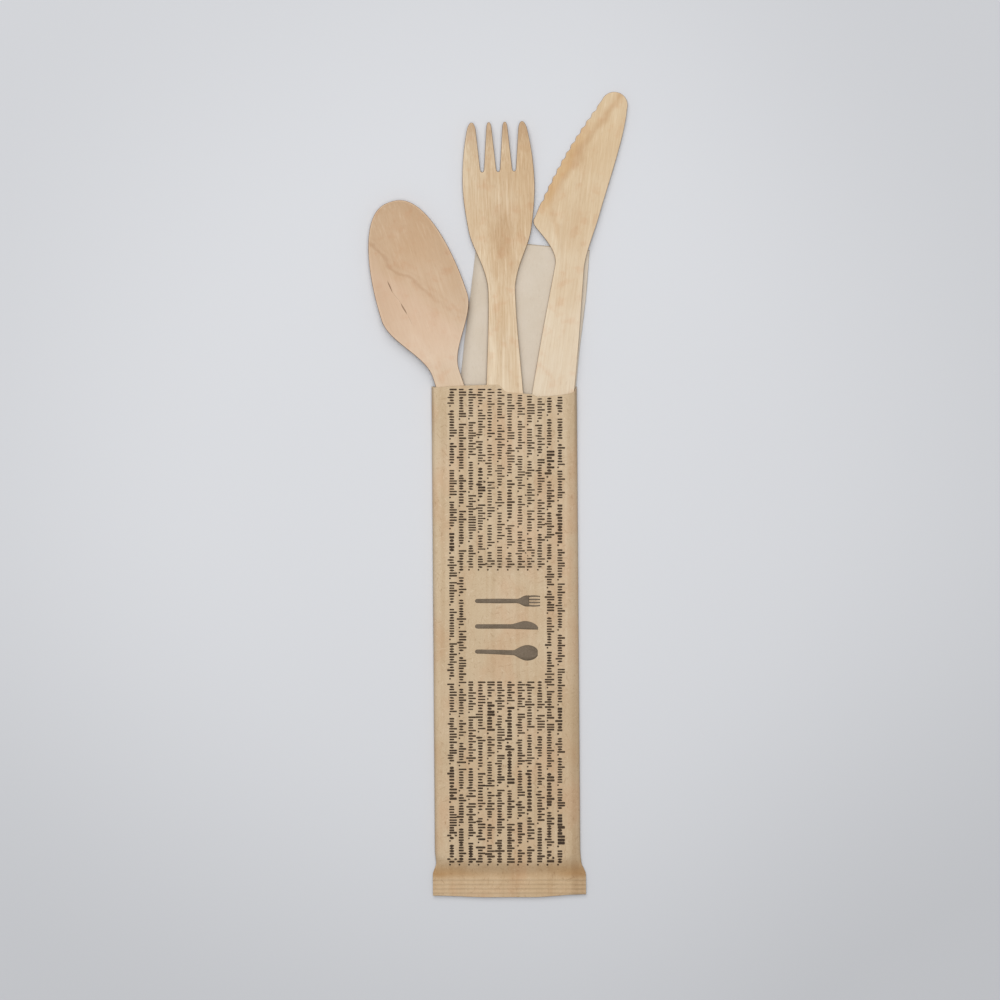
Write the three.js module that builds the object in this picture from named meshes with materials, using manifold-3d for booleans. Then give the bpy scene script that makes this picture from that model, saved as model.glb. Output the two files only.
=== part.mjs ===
// Wooden cutlery pack: a spoon, a fork, a knife and a folded napkin in an open paper sleeve, lying flat.
// Millimetres. +X to the right, +Y from the sealed end of the sleeve to the blades, +Z up from the table.
import * as THREE from "three";
import { mergeVertices } from "three/addons/utils/BufferGeometryUtils.js";
import Module from "manifold-3d";

const wasm = await Module();
wasm.setup();

// ---- driving dimensions ----
const VENEER = 1.6; // thickness of the pressed birch
const PAPER = 0.1; // thickness of the kraft paper
const PACK_HEIGHT = 5.4; // outside height of the filled sleeve

const SLEEVE = {
  width: 54, // across the filled tube
  sealWidth: 56.9, // across the flattened end, which has the same girth
  bottom: -150, // Y of the sealed edge
  sealTop: -139.6, // Y where the crimped band begins
  shoulder: -131.5, // Y where the tube begins to close down
  mouth: 40.4, // Y of the back panel's edge
  midBottom: 3.7, // X of the tube's centre line at the sealed end
  midMouth: 2.3, // X of the tube's centre line at the mouth
  sealShift: 0.6, // how far the flattened seal lies to the right of that line
  sealThickness: 0.5,
  sealLift: 0.9, // height of the seal's underside over the table
  trim: 3, // made longer than this before the mouth is cut
};
// Side of the tube: the height where it is widest, and how wide its rounding is below and above that.
const SIDE = { widest: 1.5, lowRound: 1.3, highRound: 2.2 };
const FIN = { width: 10, layers: 0.2, step: 0.15, ramp: 4 }; // the back seam, folded flat underneath
// Edge of the front panel from left to right: high over the spoon, torn down to the fork and the knife.
const FRONT_EDGE = [
  [-32, 39.5],
  [-24, 40],
  [-12, 40.7],
  [0, 41],
  [3.2, 38.3],
  [9, 37.8],
  [12.5, 37.4],
  [15, 36.5],
  [21, 36.8],
  [27, 38.2],
  [34, 39],
];
const CRIMP = { ridges: 4, pitch: 1.75, height: 0.22, top: -142.2 };
const WALL_STEPS = 36; // steps along the outside of the tube
const POCKET_STEPS = 12; // steps along the inside, which has no crimps

const NAPKIN = { width: 42, length: 165, thickness: 1.45, lift: 0.36, clearance: 0.05 };

// Where each item lies: its handle end (or the napkin's outer end), and its lean, positive to the left.
const LAY = {
  spoon: { x: 9.2, y: -43.4, lean: 17.9 },
  fork: { x: 4.15, y: -22.1, lean: 1.7 },
  knife: { x: 13.7, y: -13.3, lean: -7.4 },
  napkin: { x: 12.95, y: 93.1, lean: -5.7 },
};

// Heights of the middle of the veneer over the table.
const LEVEL = {
  lower: 2.72, // handles that lie on the napkin
  upper: 4.42, // the fork's handle, which crosses over them
};

// In each item, lengths are counted from the end of its handle. A climb or a fall is a smooth step in its
// side view, with the two places where it starts and ends and its height.
const SPOON = {
  length: 160,
  handleHalf: 6.9,
  neckHalf: 5.1,
  taper: 40,
  neck: 93,
  shoulder: 119,
  bowlHalf: 16.7,
  bluntness: 2.55, // 2 would close the bowl as a half ellipse
  climb: { from: 62, to: 104, height: 1.88 },
  dish: { middle: 129, reach: 31, half: 17.3, depth: 3.7, fullness: 0.85 },
};
const FORK = {
  length: 160.8,
  handleHalf: 7.1,
  neckHalf: 5.05,
  taper: 50,
  neck: 98,
  headHalf: 13.4,
  head: 137.5,
  tipHalf: 10.8,
  slotRoot: 143.6,
  slotPitch: 5.95,
  slotHalfRoot: 0.5,
  slotHalfTip: 1.85,
  quick: { share: 0.62, length: 23 }, // the first, quick widening after the neck
  slowStart: 8, // how far past the neck the slow widening starts
  fall: { from: 82, to: 150, height: 3.4 },
  lift: { from: 128, height: 3.4, power: 1.7 }, // the tines' curve upwards
  dish: { from: 108, to: 130, depth: 0.9 }, // how far the head's sides stand over its middle
};
const KNIFE = {
  length: 165.6,
  handleHalf: 8.1,
  neckHalf: 5.3,
  neck: 99,
  heel: { u: -15.2, v: 115 },
  tip: { u: 8.5, v: 160.5, radius: 5.2 }, // the round point's centre
  spine: { u: 8.6, v: 120.5 }, // where the straight back of the blade begins
  belly: 1.35, // how far the edge bows outwards half-way along
  smoothHeel: 0.12, // share of the edge before the first tooth, and after the last one
  smoothPoint: 0.05,
  teeth: 12,
  toothDepth: 0.45,
  bevel: 8.5, // width of the thinned band behind the edge
  bevelStart: 18, // how far past the neck the band reaches its full depth
  edgeThickness: 0.9,
  sheetHalf: 17, // half the width of the sheet that it is cut from
  climb: { from: 36, to: 64, height: 0.75 },
  fall: { from: 75, to: 160, height: 2.2 },
};

const GRID = 2.9; // length of one facet of the pressed veneer
const OUTLINE_STATIONS = 44; // places along an item where its width is worked out
const CUT_REACH = 20; // how far a cutter reaches over and under the table

const { lerp, degToRad } = THREE.MathUtils;
const smooth = (a, b, x) => THREE.MathUtils.smoothstep(x, a, b);
const stepUp = ({ from, to, height }, v) => height * smooth(from, to, v);

// ---- materials ----
const birch = (colour) =>
  new THREE.MeshStandardMaterial({ color: colour, roughness: 0.7, metalness: 0 });
const materials = {
  spoon: birch(0xd4b291),
  fork: birch(0xd7bc94),
  knife: birch(0xdec49b),
  napkin: new THREE.MeshStandardMaterial({ color: 0xd7cbb9, roughness: 0.95, metalness: 0 }),
  sleeve: new THREE.MeshStandardMaterial({ color: 0xb99a74, roughness: 0.85, metalness: 0 }),
};

// ---- solids: joining and cutting ----
function toSolid(geometry) {
  const bare = geometry.clone();
  bare.deleteAttribute("normal");
  bare.deleteAttribute("uv");
  const merged = mergeVertices(bare, 1e-4);
  return new wasm.Manifold(
    new wasm.Mesh({
      numProp: 3,
      vertProperties: merged.attributes.position.array,
      triVerts: new Uint32Array(merged.index.array),
    }),
  );
}

function toGeometry(solid) {
  const mesh = solid.getMesh();
  const geometry = new THREE.BufferGeometry();
  geometry.setAttribute("position", new THREE.BufferAttribute(mesh.vertProperties, 3));
  geometry.setIndex(new THREE.BufferAttribute(mesh.triVerts, 1));
  geometry.computeVertexNormals();
  return geometry;
}

// Moves every vertex of a geometry by a function that changes the vector it is given.
function reshape(geometry, move) {
  const position = geometry.attributes.position;
  const point = new THREE.Vector3();
  for (let i = 0; i < position.count; i++) {
    move(point.fromBufferAttribute(position, i));
    position.setXYZ(i, point.x, point.y, point.z);
  }
  return geometry;
}

const extruded = (shape, from, to) =>
  toSolid(
    new THREE.ExtrudeGeometry(shape, { depth: to - from, bevelEnabled: false }).translate(0, 0, from),
  );

function piece(name, solid, material) {
  const mesh = new THREE.Mesh(toGeometry(solid), material);
  mesh.name = name;
  return mesh;
}

// ---- pressed veneer ----
// A sheet of veneer that is pressed and then cut to an outline. lower(u, v) and upper(u, v) give its two
// faces' heights, u across the item and v along it.
function pressed(outline, halfWidth, length, lower, upper) {
  const across = Math.round((2 * halfWidth) / GRID);
  const along = Math.round(length / GRID);
  const sheet = new THREE.BoxGeometry(2 * halfWidth, length, VENEER, across, along, 1);
  sheet.translate(0, length / 2, 0);
  reshape(sheet, (p) => {
    p.z = p.z > 0 ? upper(p.x, p.y) : lower(p.x, p.y);
  });
  return toSolid(sheet).intersect(extruded(outline, -CUT_REACH, CUT_REACH));
}

// A symmetrical outline from a half-width function, with more stations where the ends turn round.
function symmetricOutline(half, length) {
  const right = [];
  for (let i = 1; i < OUTLINE_STATIONS; i++) {
    const v = (length * (1 - Math.cos((Math.PI * i) / OUTLINE_STATIONS))) / 2;
    right.push(new THREE.Vector2(half(v), v));
  }
  const left = right.map((p) => new THREE.Vector2(-p.x, p.y)).reverse();
  return new THREE.Shape([new THREE.Vector2(0, 0), ...right, new THREE.Vector2(0, length), ...left]);
}

// Half-width of a handle: a round end, full width to where the taper starts, then narrower to the neck.
function handleHalf(v, item) {
  const taper = lerp(item.handleHalf, item.neckHalf, smooth(item.taper, item.neck, v));
  const fromEnd = Math.min(v / item.handleHalf, 1);
  return taper * Math.sqrt(1 - (1 - fromEnd) ** 2);
}

// The bowl widens in an S-curve and closes as half of a blunt ellipse.
function spoonHalf(v) {
  const { neck, shoulder, neckHalf, bowlHalf, length } = SPOON;
  if (v <= neck) return handleHalf(v, SPOON);
  if (v <= shoulder) return lerp(neckHalf, bowlHalf, smooth(neck, shoulder, v));
  const share = Math.min((v - shoulder) / (length - shoulder), 1);
  return bowlHalf * (1 - share ** 2) ** (1 / SPOON.bluntness);
}

// The handle climbs to the level of the rim, and the bowl is a dish that fades out at the rim.
function spoonMiddle(u, v) {
  const { middle, reach, half, depth, fullness } = SPOON.dish;
  const inside = Math.max(0, 1 - ((v - middle) / reach) ** 2 - (u / half) ** 2);
  return LEVEL.lower + stepUp(SPOON.climb, v) - depth * inside ** fullness;
}

function spoonSolid() {
  return pressed(
    symmetricOutline(spoonHalf, SPOON.length),
    SPOON.bowlHalf + 1,
    SPOON.length,
    (u, v) => spoonMiddle(u, v) - VENEER / 2,
    (u, v) => spoonMiddle(u, v) + VENEER / 2,
  );
}

// The head widens quickly at the neck and slowly after it, and draws in again towards the tips.
function forkHalf(v) {
  const { neck, head, neckHalf, headHalf, tipHalf, length, quick, slowStart } = FORK;
  if (v <= neck) return handleHalf(v, FORK);
  if (v > head) return lerp(headHalf, tipHalf, ((v - head) / (length - head)) ** 2);
  const first = quick.share * smooth(neck, neck + quick.length, v);
  const second = (1 - quick.share) * smooth(neck + slowStart, head, v);
  return lerp(neckHalf, headHalf, first + second);
}

// The gap between two tines: a wedge with a round root, open past the tips.
function forkSlot(middle) {
  const { length, slotRoot, slotHalfRoot, slotHalfTip } = FORK;
  const slot = new THREE.Shape();
  slot.moveTo(middle + slotHalfTip, length + 1);
  slot.lineTo(middle - slotHalfTip, length + 1);
  slot.lineTo(middle - slotHalfRoot, slotRoot + slotHalfRoot);
  slot.absarc(middle, slotRoot + slotHalfRoot, slotHalfRoot, Math.PI, 2 * Math.PI, false);
  slot.closePath();
  return slot;
}

// The four tines' round tips: what lies outside them is cut away.
function forkTips() {
  const { length, headHalf, tipHalf, slotPitch, slotHalfTip } = FORK;
  const innerHalf = slotPitch / 2 - slotHalfTip;
  const outerHalf = (tipHalf - slotPitch - slotHalfTip) / 2;
  const outerMiddle = tipHalf - outerHalf;
  const tines = [
    { middle: -outerMiddle, half: outerHalf },
    { middle: -slotPitch / 2, half: innerHalf },
    { middle: slotPitch / 2, half: innerHalf },
    { middle: outerMiddle, half: outerHalf },
  ];
  const cutter = new THREE.Shape();
  cutter.moveTo(headHalf, length + 1);
  cutter.lineTo(-headHalf, length + 1);
  cutter.lineTo(-headHalf, length - 2 * outerHalf);
  for (const { middle, half } of tines) cutter.absarc(middle, length - half, half, Math.PI, 0, true);
  cutter.lineTo(headHalf, length - 2 * outerHalf);
  cutter.closePath();
  return cutter;
}

// Side view: level in the sleeve, down to the bottom of the head, and up again along the tines.
function forkMiddle(u, v) {
  const { lift, dish, headHalf, length } = FORK;
  const tines = lift.height * (Math.max(0, v - lift.from) / (length - lift.from)) ** lift.power;
  const sides = dish.depth * smooth(dish.from, dish.to, v) * (u / headHalf) ** 2;
  return LEVEL.upper - stepUp(FORK.fall, v) + tines + sides;
}

function forkSolid() {
  const blank = pressed(
    symmetricOutline(forkHalf, FORK.length),
    FORK.headHalf + 1,
    FORK.length,
    (u, v) => forkMiddle(u, v) - VENEER / 2,
    (u, v) => forkMiddle(u, v) + VENEER / 2,
  );
  const slots = [-1, 0, 1].map((side) => forkSlot(side * FORK.slotPitch));
  return [...slots, forkTips()]
    .map((shape) => extruded(shape, -CUT_REACH, CUT_REACH))
    .reduce((solid, cutter) => solid.subtract(cutter), blank);
}

// Where the knife's edge leaves the round point, and the edge's direction from there to the heel.
const EDGE_START = new THREE.Vector2(-1, 0)
  .rotateAround(new THREE.Vector2(), degToRad(-15))
  .multiplyScalar(KNIFE.tip.radius)
  .add(new THREE.Vector2(KNIFE.tip.u, KNIFE.tip.v));
const EDGE = new THREE.Vector2(KNIFE.heel.u, KNIFE.heel.v).sub(EDGE_START);
const EDGE_OUT = new THREE.Vector2(EDGE.y, -EDGE.x).normalize();

// Distance of a point from the straight line under the knife's edge, towards the back of the blade.
const fromEdge = (u, v) => new THREE.Vector2(u, v).sub(EDGE_START).dot(EDGE_OUT) * -1;

// A point on the edge at a share of the way from the round point to the heel, with the scallops cut in.
function edgePoint(share) {
  const { teeth, toothDepth, smoothPoint, smoothHeel, belly } = KNIFE;
  const inTeeth = (share - smoothPoint) / (1 - smoothPoint - smoothHeel);
  const scallop = inTeeth > 0 && inTeeth < 1 ? toothDepth * Math.sin(Math.PI * teeth * inTeeth) ** 2 : 0;
  const out = 4 * belly * share * (1 - share) - scallop;
  return EDGE_START.clone().addScaledVector(EDGE, share).addScaledVector(EDGE_OUT, out);
}

// The knife's outline: up the right side, round the point, down the toothed edge and round the heel.
function knifeOutline() {
  const { heel, tip, spine, neckHalf, handleHalf: half, neck, teeth } = KNIFE;
  const outline = new THREE.Shape();
  outline.absarc(0, half, half, -Math.PI / 2, 0, false);
  outline.bezierCurveTo(half + 0.4, 50, neckHalf + 1.6, 72, neckHalf, neck);
  outline.bezierCurveTo(neckHalf, 106, spine.u - 1, 113, spine.u, spine.v);
  outline.bezierCurveTo(spine.u + 1.4, 130, tip.u + 5.6, 150, tip.u + tip.radius - 0.1, tip.v - 1);
  outline.absarc(tip.u, tip.v, tip.radius, degToRad(-10), degToRad(165), false);
  const steps = teeth * 5;
  for (let i = 1; i < steps; i++) {
    const { x, y } = edgePoint(i / steps);
    outline.lineTo(x, y);
  }
  outline.quadraticCurveTo(heel.u - 0.5, heel.v, heel.u + 0.1, heel.v - 2.2);
  outline.bezierCurveTo(heel.u + 0.8, heel.v - 5.4, -neckHalf, 105, -neckHalf, neck);
  outline.bezierCurveTo(-neckHalf - 1.6, 72, -half - 0.4, 50, -half, half);
  outline.absarc(0, half, half, Math.PI, 1.5 * Math.PI, false);
  return outline;
}

// Side view: a long slope from the mouth of the sleeve down to the point.
const knifeMiddle = (v) => LEVEL.lower + stepUp(KNIFE.climb, v) - stepUp(KNIFE.fall, v);

function knifeSolid() {
  const { neck, bevel, bevelStart, edgeThickness } = KNIFE;
  const thinned = (u, v) => {
    const inBlade = smooth(neck, neck + bevelStart, v);
    return (VENEER - edgeThickness) * inBlade * (1 - smooth(0, bevel, fromEdge(u, v)));
  };
  return pressed(
    knifeOutline(),
    KNIFE.sheetHalf,
    KNIFE.length + 1,
    (u, v) => knifeMiddle(v) - VENEER / 2,
    (u, v) => knifeMiddle(v) + VENEER / 2 - thinned(u, v),
  );
}

// ---- paper sleeve ----
const closing = (y) => 1 - smooth(SLEEVE.sealTop, SLEEVE.shoulder, y);
const sleeveMid = (y) =>
  lerp(SLEEVE.midBottom, SLEEVE.midMouth, (y - SLEEVE.bottom) / (SLEEVE.mouth - SLEEVE.bottom)) +
  SLEEVE.sealShift * closing(y);
const sleeveWidth = (y) => lerp(SLEEVE.width, SLEEVE.sealWidth, closing(y + 1.5));

// Section across the tube: flat on the table and on top, and widest at the height of the napkin. The
// underside steps up beside the fin by its thickness and ramps down again. inset is the wall left out.
function sleeveSection(inset) {
  const half = SLEEVE.width / 2 - inset;
  const top = PACK_HEIGHT - inset;
  const { widest, lowRound, highRound } = SIDE;
  const finEdge = FIN.width / 2;
  const underFin = inset ? inset + FIN.layers : 0;
  const section = new THREE.Shape();
  section.moveTo(lowRound - half, inset);
  section.lineTo(-finEdge - FIN.ramp, inset);
  section.lineTo(-finEdge - FIN.step, inset + FIN.layers);
  section.lineTo(-finEdge, underFin);
  section.lineTo(finEdge, underFin);
  section.lineTo(finEdge + FIN.step, inset + FIN.layers);
  section.lineTo(finEdge + FIN.ramp, inset);
  section.lineTo(half - lowRound, inset);
  section.absellipse(half - lowRound, widest, lowRound, widest - inset, -Math.PI / 2, 0, false, 0);
  section.absellipse(half - highRound, widest, highRound, top - widest, 0, Math.PI / 2, false, 0);
  section.lineTo(0, top);
  section.lineTo(highRound - half, top);
  section.absellipse(highRound - half, widest, highRound, top - widest, Math.PI / 2, Math.PI, false, 0);
  section.absellipse(lowRound - half, widest, lowRound, widest - inset, Math.PI, 1.5 * Math.PI, false, 0);
  return section;
}

// Y at a share of the steps up from a start: short steps up to the shoulder, long ones above.
function sleeveStation(share, start) {
  const bend = 0.8;
  return share < bend
    ? lerp(start, SLEEVE.shoulder, share / bend)
    : lerp(SLEEVE.shoulder, SLEEVE.mouth + SLEEVE.trim, (share - bend) / (1 - bend));
}

// Ridges pressed across the sealed band, the same on both faces.
function crimp(y) {
  const from = (CRIMP.top - y) / CRIMP.pitch;
  return from < 0 || from > CRIMP.ridges ? 0 : CRIMP.height * Math.sin(Math.PI * from) ** 2;
}

// The tube from a start up to past the mouth, closed down to the seal's thickness at its lower end.
function sleeveBody(inset, start, steps) {
  const body = new THREE.ExtrudeGeometry(sleeveSection(inset), {
    depth: 1,
    steps,
    curveSegments: 4,
    bevelEnabled: false,
  });
  return reshape(body, (p) => {
    const y = sleeveStation(1 - p.z, start);
    const height = lerp(PACK_HEIGHT, SLEEVE.sealThickness, closing(y));
    const squeeze = (height - 2 * inset) / (PACK_HEIGHT - 2 * inset);
    const lift = SLEEVE.sealLift * closing(y) + crimp(y);
    p.set(
      sleeveMid(y) + (p.x * sleeveWidth(y)) / SLEEVE.width,
      y,
      lift + inset + (p.y - inset) * squeeze,
    );
  });
}

// What is trimmed off beyond the wavy edge of the front panel.
function frontTrim() {
  const beyond = SLEEVE.mouth + SLEEVE.trim + 1;
  const edge = FRONT_EDGE.map(([x, y]) => new THREE.Vector2(x, y));
  const trim = new THREE.Shape();
  trim.moveTo(edge[0].x, beyond);
  trim.lineTo(edge[0].x, edge[0].y);
  trim.splineThru(edge.slice(1));
  trim.lineTo(edge.at(-1).x, beyond);
  trim.closePath();
  return extruded(trim, PACK_HEIGHT / 2, PACK_HEIGHT + 1);
}

// What is trimmed off beyond the straight edge of the back panel.
function backTrim() {
  const beyond = SLEEVE.mouth + SLEEVE.trim + 1;
  const side = SLEEVE.width;
  const trim = new THREE.Shape();
  trim.moveTo(-side, SLEEVE.mouth);
  trim.lineTo(side, SLEEVE.mouth);
  trim.lineTo(side, beyond);
  trim.lineTo(-side, beyond);
  return extruded(trim, -1, PACK_HEIGHT / 2 + 0.01);
}

function sleeveSolid() {
  const pocket = toSolid(sleeveBody(PAPER, SLEEVE.sealTop, POCKET_STEPS));
  const tube = toSolid(sleeveBody(0, SLEEVE.bottom, WALL_STEPS)).subtract(pocket);
  return tube.subtract(frontTrim()).subtract(backTrim());
}

// ---- napkin ----
// A folded stack of tissue with rounded folds along both sides. Where it lies in the tube it keeps clear
// of the paper, so its hidden corner is turned in.
function napkinSolid(place) {
  const { width, length, thickness, lift, clearance } = NAPKIN;
  const half = width / 2;
  const round = thickness / 2;
  const section = new THREE.Shape();
  section.moveTo(round - half, 0);
  section.lineTo(half - round, 0);
  section.absarc(half - round, round, round, -Math.PI / 2, Math.PI / 2, false);
  section.lineTo(round - half, thickness);
  section.absarc(round - half, round, round, Math.PI / 2, 1.5 * Math.PI, false);
  const stack = new THREE.ExtrudeGeometry(section, { depth: length, curveSegments: 6, bevelEnabled: false });
  stack.rotateX(Math.PI / 2).translate(0, 0, lift);
  stack.rotateZ(degToRad(place.lean)).translate(place.x, place.y, 0);
  const around = new THREE.BoxGeometry(2 * SLEEVE.width, SLEEVE.mouth - SLEEVE.bottom, 4 * PACK_HEIGHT);
  around.translate(0, (SLEEVE.mouth + SLEEVE.bottom) / 2, 0);
  const pocket = toSolid(sleeveBody(PAPER + clearance, SLEEVE.sealTop, POCKET_STEPS));
  return toSolid(stack).subtract(toSolid(around).subtract(pocket));
}

// ---- the pack ----
// Puts a solid where its item lies: its own origin at the place, leaning from +Y.
function laid(name, solid, place, material) {
  const mesh = piece(name, solid, material);
  mesh.position.set(place.x, place.y, 0);
  mesh.rotation.z = degToRad(place.lean);
  return mesh;
}

const pack = new THREE.Group();
pack.add(
  piece("paper_sleeve", sleeveSolid(), materials.sleeve),
  piece("napkin", napkinSolid(LAY.napkin), materials.napkin),
  laid("spoon", spoonSolid(), LAY.spoon, materials.spoon),
  laid("fork", forkSolid(), LAY.fork, materials.fork),
  laid("knife", knifeSolid(), LAY.knife, materials.knife),
);

// The origin is the middle of the bottom of the whole pack's box.
pack.updateMatrixWorld(true);
const box = new THREE.Box3().setFromObject(pack, true);
pack.position.set(-(box.min.x + box.max.x) / 2, -(box.min.y + box.max.y) / 2, -box.min.z);
export default pack;
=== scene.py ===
"""Looks of the wooden cutlery pack: a birch spoon, fork and knife and a folded tissue napkin in an open kraft
paper sleeve, lying flat. Blender script; lengths are worked out in millimetres and put into meshes in metres.
+X to the right, +Y from the sealed end of the sleeve to the blades, +Z up from the table."""

import math

import bpy
import numpy as np
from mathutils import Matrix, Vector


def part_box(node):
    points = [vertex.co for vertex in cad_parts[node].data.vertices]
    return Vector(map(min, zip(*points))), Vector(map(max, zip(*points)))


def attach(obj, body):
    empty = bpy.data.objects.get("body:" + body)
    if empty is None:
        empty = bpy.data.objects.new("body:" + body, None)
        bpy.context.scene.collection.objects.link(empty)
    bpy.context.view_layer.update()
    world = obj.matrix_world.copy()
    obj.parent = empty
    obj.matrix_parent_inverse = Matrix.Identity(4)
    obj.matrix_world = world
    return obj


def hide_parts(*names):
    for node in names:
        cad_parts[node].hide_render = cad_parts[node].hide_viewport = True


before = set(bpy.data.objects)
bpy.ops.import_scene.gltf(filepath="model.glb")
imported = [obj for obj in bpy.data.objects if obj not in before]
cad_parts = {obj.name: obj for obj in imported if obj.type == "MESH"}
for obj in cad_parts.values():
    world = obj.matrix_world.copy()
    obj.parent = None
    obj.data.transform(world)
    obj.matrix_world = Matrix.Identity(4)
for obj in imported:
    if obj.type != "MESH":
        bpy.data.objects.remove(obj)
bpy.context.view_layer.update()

MM = 0.001
VENEER = 1.6  # thickness of the pressed birch
EDGE_ROUND = 0.42  # radius on the tumbled edges of the cutlery
KNIFE_ROUND = 0.3  # and on the knife's
PAPER = 0.1
LEAN = {"spoon": 17.9, "fork": 1.7, "knife": -7.4, "napkin": -5.7}  # degrees, positive to the left
LEVEL_LOWER = 2.72  # middle of the veneer of the spoon's and the knife's handle
LEVEL_UPPER = 4.42  # and of the fork's, which lies across them


# ---------------------------------------------------------------- numbers

def smooth(start, end, x):
    """0 before start, 1 after end, and 3t^2 - 2t^3 between them."""
    t = np.clip((x - start) / (end - start), 0, 1)
    return t * t * (3 - 2 * t)


def lerp(a, b, t):
    """a where t is 0, b where it is 1, straight between."""
    return a + (b - a) * t


def through(knots, x):
    """A smooth line through the knots (x, y) that doesn't overshoot them: a cubic between each two, whose
    slope at a knot is the harmonic mean of the slopes on its two sides, or 0 where the line turns there."""
    kx, ky = np.array(knots, float).T
    sides = np.diff(ky) / np.diff(kx)
    before, after = np.append(sides[0], sides), np.append(sides, sides[-1])
    turns = before * after <= 0
    slope = np.where(turns, 0, 2 * before * after / np.where(turns, 1, before + after))
    i = np.clip(np.searchsorted(kx, x) - 1, 0, len(kx) - 2)
    width = kx[i + 1] - kx[i]
    t = np.clip((x - kx[i]) / width, 0, 1)
    rise = (2 * t**3 - 3 * t**2 + 1) * ky[i] + (3 * t**2 - 2 * t**3) * ky[i + 1]
    return rise + ((t**3 - 2 * t**2 + t) * slope[i] + (t**3 - t**2) * slope[i + 1]) * width


def ripple(x, y, seed, longest, count=9):
    """Soft random unevenness of about -1 to 1: the sum of sines in random directions, the first with the
    longest wavelength and each next one shorter and lower."""
    rng = np.random.default_rng(seed)
    total = 0
    for k in range(count):
        wavelength = longest * 0.8**k
        angle, phase = rng.uniform(0, math.pi), rng.uniform(0, 2 * math.pi)
        along = x * math.cos(angle) + y * math.sin(angle)
        total = total + 0.8**k * np.sin(2 * math.pi * along / wavelength + phase)
    return total / 2.5


def bezier(a, b, c, d, steps):
    """Points on the cubic Bezier curve from a to d with handles b and c."""
    t = np.linspace(0, 1, steps)[:, None]
    a, b, c, d = (np.array(p, float) for p in (a, b, c, d))
    return (1 - t) ** 3 * a + 3 * (1 - t) ** 2 * t * b + 3 * (1 - t) * t**2 * c + t**3 * d


def quarter(t):
    """A quarter ellipse's height, the root of 1 - t^2: 1 where t is 0 and 0 where it is 1."""
    return np.sqrt(np.clip(1 - t**2, 0, 1))


def spaced(stops, counts):
    """Numbers from the first stop to the last one, evenly spaced between each two. A span's count takes in
    both its ends."""
    spans = [np.linspace(a, b, count) for a, b, count in zip(stops, stops[1:], counts)]
    return np.concatenate([*(span[:-1] for span in spans[:-1]), spans[-1]])


def box_of(node):
    """The lower and the upper corner of a CAD node, in millimetres."""
    return np.array(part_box(node)) / MM


# ---------------------------------------------------------------- meshes

def placed(name, data):
    """A new object in the scene."""
    thing = bpy.data.objects.new(name, data)
    bpy.context.scene.collection.objects.link(thing)
    return thing


def new_piece(name, points, faces, finish, node=None):
    """A mesh object from points in millimetres and faces, on the pack's one body."""
    mesh = bpy.data.meshes.new(name)
    mesh.from_pydata((np.asarray(points) * MM).tolist(), [], [list(map(int, f)) for f in faces])
    mesh.materials.append(finish)
    mesh.polygons.foreach_set("use_smooth", np.ones(len(mesh.polygons), bool))
    mesh.update()
    piece = placed(name, mesh)
    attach(piece, "root")
    if node:
        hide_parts(node)
    return piece


def attribute(piece, name, values):
    """Stores one number per vertex, for the finish to read."""
    piece.data.attributes.new(name, "FLOAT", "POINT").data.foreach_set("value", np.asarray(values, np.float32))


def grid_faces(rows, columns, start=0, closed=False):
    """Four-cornered faces of a grid of vertices, numbered row by row; closed joins the last column to the
    first one. They face up where the columns run to +X and the rows to +Y."""
    r, c = np.meshgrid(np.arange(rows - 1), np.arange(columns if closed else columns - 1), indexing="ij")
    a = start + r * columns + c
    b = start + r * columns + (c + 1) % columns
    return np.stack([a, b, b + columns, a + columns], -1).reshape(-1, 4)


def rim_of(faces, plan):
    """The rim of a flat mesh that faces up: its directed edges that no second face shares, and each rim
    vertex's outward direction, the mean of its two edges' outward normals."""
    edges = np.concatenate([np.stack([faces[:, k], faces[:, (k + 1) % 4]], -1) for k in range(4)])
    _, first, uses = np.unique(np.sort(edges, 1), axis=0, return_index=True, return_counts=True)
    edges = edges[first[uses == 1]]
    along = plan[edges[:, 1]] - plan[edges[:, 0]]
    outward = np.zeros_like(plan)
    for end in (0, 1):
        np.add.at(outward, edges[:, end], np.stack([along[:, 1], -along[:, 0]], -1))
    rim = np.unique(edges)
    return rim, edges, outward[rim] / np.linalg.norm(outward[rim], axis=1, keepdims=True)


def plate(plan, faces, top, bottom, radius, arc_steps=3):
    """A plate with rounded edges. plan is its outline's inside, a radius in from the edge, as a flat mesh;
    top(u, v) and bottom(u, v) are its faces' heights. From the rim the skin goes outwards by radius times
    sin a and down by radius times 1 - cos a, falls straight, and comes back in the same way underneath.
    Returns points, faces and each point's depth into the edge: 0 on the faces and 1 on the cut wall."""
    rim, edges, outward = rim_of(faces, plan)
    angles = np.linspace(0, math.pi / 2, arc_steps + 1)[1:]
    over, under = top(*plan.T), bottom(*plan.T)
    points = [np.column_stack([plan, over])]
    depth = [np.zeros(len(plan))]
    for height, turn, ring in ((over, -1, angles), (under, 1, angles[::-1])):
        for a in ring:
            out = plan[rim] + outward * radius * math.sin(a)
            z = height[rim] + turn * radius * (1 - math.cos(a))
            points.append(np.column_stack([out, z]))
            depth.append(np.full(len(rim), math.sin(a)))
    points.append(np.column_stack([plan, under]))
    depth.append(np.zeros(len(plan)))
    place = np.zeros(len(plan), int)
    place[rim] = np.arange(len(rim))
    rings = 2 * arc_steps
    base = len(plan) + len(rim) * rings
    layers = [lambda i: i]
    layers += [lambda i, k=k: len(plan) + k * len(rim) + place[i] for k in range(rings)]
    layers += [lambda i: base + i]
    sides = [
        np.stack([upper(edges[:, 1]), upper(edges[:, 0]), lower(edges[:, 0]), lower(edges[:, 1])], -1)
        for upper, lower in zip(layers, layers[1:])
    ]
    skin = np.concatenate([faces, *sides, faces[:, ::-1] + base])
    return np.concatenate(points), skin, np.concatenate(depth)


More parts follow.
